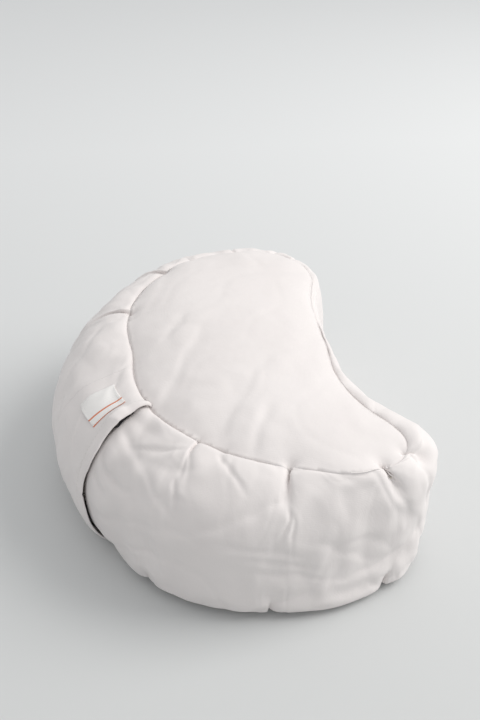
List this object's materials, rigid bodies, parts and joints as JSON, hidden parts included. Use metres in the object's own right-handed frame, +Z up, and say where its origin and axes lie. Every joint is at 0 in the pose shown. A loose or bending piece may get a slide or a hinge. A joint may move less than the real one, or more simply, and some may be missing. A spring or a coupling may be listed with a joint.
{
  "type": "crescent floor cushion",
  "caption": "Crescent floor cushion: a crowned top and a bulging wall with an overlap flap over a zip, holding a zipped liner of loose hulls; also used behind the lower back.",
  "frame": {"origin": "on the resting face, in the middle of the plan, midway between the horns' ends and the back of the wall", "axes": "+Z up from the floor; +Y to the convex back; +X along the crescent, to the right when the concave front faces the viewer"},
  "size_m": [0.46, 0.2949, 0.1401],
  "materials": {
    "cover_cotton": "matte",
    "seam_thread": "matte",
    "label_weave": "satin",
    "label_thread": "matte",
    "zip_tape": "matte",
    "zip_moulding": "satin",
    "zip_metal": "satin",
    "liner_cotton": "matte",
    "liner_thread": "matte",
    "hulls": "matte"
  },
  "bodies": {
    "cover": {"top_panel": "cover_cotton", "side_wall": "cover_cotton", "bottom_panel": "cover_cotton", "top_seam_thread": "seam_thread", "bottom_seam_thread": "seam_thread", "zip_tape_left": "zip_tape", "zip_tape_right": "zip_tape", "zip_teeth_left": "zip_moulding", "zip_teeth_right": "zip_moulding", "zip_top_stops": "zip_moulding", "zip_bottom_stop": "zip_moulding", "liner_top": "liner_cotton", "liner_wall": "liner_cotton", "liner_bottom": "liner_cotton", "liner_top_seam_thread": "liner_thread", "liner_bottom_seam_thread": "liner_thread", "liner_zip_tape_left": "zip_tape", "liner_zip_tape_right": "zip_tape", "liner_zip_teeth_left": "zip_moulding", "liner_zip_teeth_right": "zip_moulding", "liner_zip_top_stops": "zip_moulding", "liner_zip_bottom_stop": "zip_moulding", "hull_fill": "hulls"},
    "flap": {"overlap_flap": "cover_cotton", "flap_hem_stitching": "seam_thread", "sewn_label": "label_weave", "label_stitching": "label_thread"},
    "zip_slider": {"zip_slider": "zip_metal"},
    "zip_pull": {"zip_pull": "zip_metal"},
    "liner_zip": {"liner_zip_slider": "zip_metal", "liner_zip_pull": "zip_metal"}
  },
  "joints": [
    {"name": "flap_lift", "type": "hinge", "parent": "cover", "child": "flap", "pos_m": [-0.01892, 0.09444, 0.12293], "axis": [-0.0253, 0.2406, -0.9703], "range_deg": [0, 18]},
    {"name": "zip_travel", "type": "hinge", "parent": "cover", "child": "zip_slider", "pos_m": [-0.06899, 0.0665, 0.057], "axis": [0.9107, 0.4131, 0], "range_deg": [-97, 0]},
    {"name": "zip_pull_swing", "type": "hinge", "parent": "zip_slider", "child": "zip_pull", "pos_m": [-0.07744, 0.08514, 0.11954], "axis": [0.7448, 0.6603, -0.0961], "range_deg": [0, 50.4]},
    {"name": "liner_zip_travel", "type": "hinge", "parent": "cover", "child": "liner_zip", "pos_m": [-0.03472, 0.07777, 0.057], "axis": [0.9781, 0.2079, 0], "range_deg": [-97, 0]}
  ],
  "couplings": [
    {"joint": "zip_pull_swing", "follows": "flap_lift", "ratio": 2.8}
  ]
}
